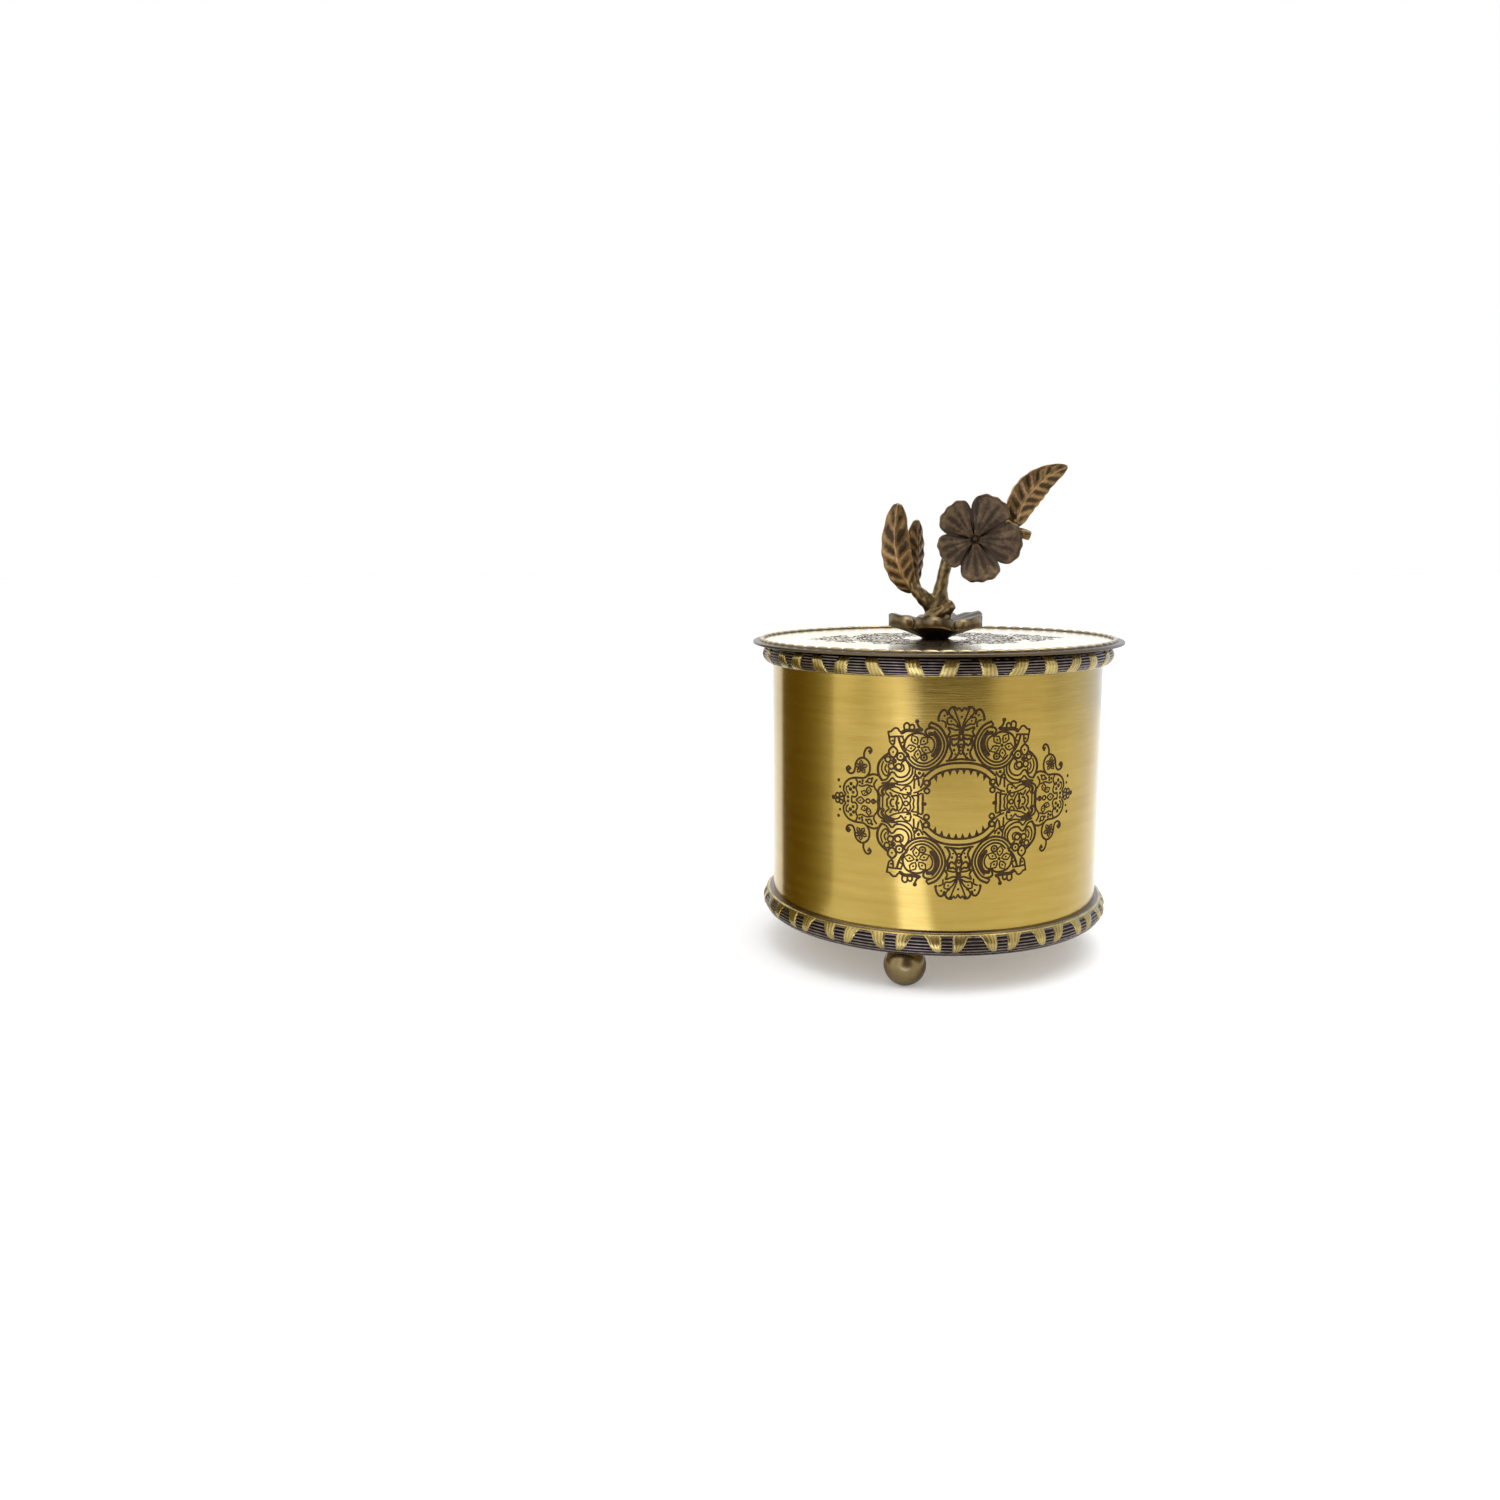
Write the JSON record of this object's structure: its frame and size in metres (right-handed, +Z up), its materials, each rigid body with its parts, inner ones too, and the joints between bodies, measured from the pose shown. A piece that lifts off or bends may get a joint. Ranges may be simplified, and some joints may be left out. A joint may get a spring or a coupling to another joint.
{
  "type": "keepsake box",
  "caption": "Round brass keepsake box on ball feet, with reeded gallery bands, an etched arabesque medallion and a lift-off lid with a cast leaf-and-blossom knob.",
  "frame": {"origin": "on the supporting surface, centred under the round body", "axes": "+Z up along the body's axis, -Y out of the etched front, +X to the right as the front is faced"},
  "size_m": [0.1132, 0.1132, 0.1492],
  "materials": {
    "brushed_brass": "round-brushed, antiqued, with an etched and blackened medallion",
    "enamelled_brass": "reeded and darkened, with bright cut leaves",
    "lid_brass": "polished and antiqued, with an etched and blackened medallion",
    "dull_brass": "unpolished inner sheet",
    "foot_brass": "satin, browned",
    "cast_bronze": "cast, dark brown with rubbed golden edges",
    "screw_brass": "turned",
    "screw_steel": "plain"
  },
  "bodies": {
    "box": {"body_wall": "brushed_brass", "base_pan": "dull_brass", "lower_band": "enamelled_brass", "upper_band": "enamelled_brass", "foot_1": "foot_brass", "foot_2": "foot_brass", "foot_3": "foot_brass", "foot_screws": "screw_steel"},
    "lid": {"lid_plate": "lid_brass", "lid_border": "lid_brass", "lid_collar": "dull_brass", "knob_dish": "cast_bronze", "knob_stem": "cast_bronze", "knob_leaf_big": "cast_bronze", "knob_leaf_small": "cast_bronze", "knob_leaf_end": "cast_bronze", "knob_blossom": "cast_bronze", "knob_blossom_eye": "cast_bronze", "knob_stud": "screw_brass", "knob_washer": "screw_brass", "knob_nut": "screw_brass"}
  },
  "joints": [
    {"name": "lid_lift", "type": "slide", "parent": "box", "child": "lid", "axis": [0, 0, 1], "range_m": [0, 0.12]}
  ]
}
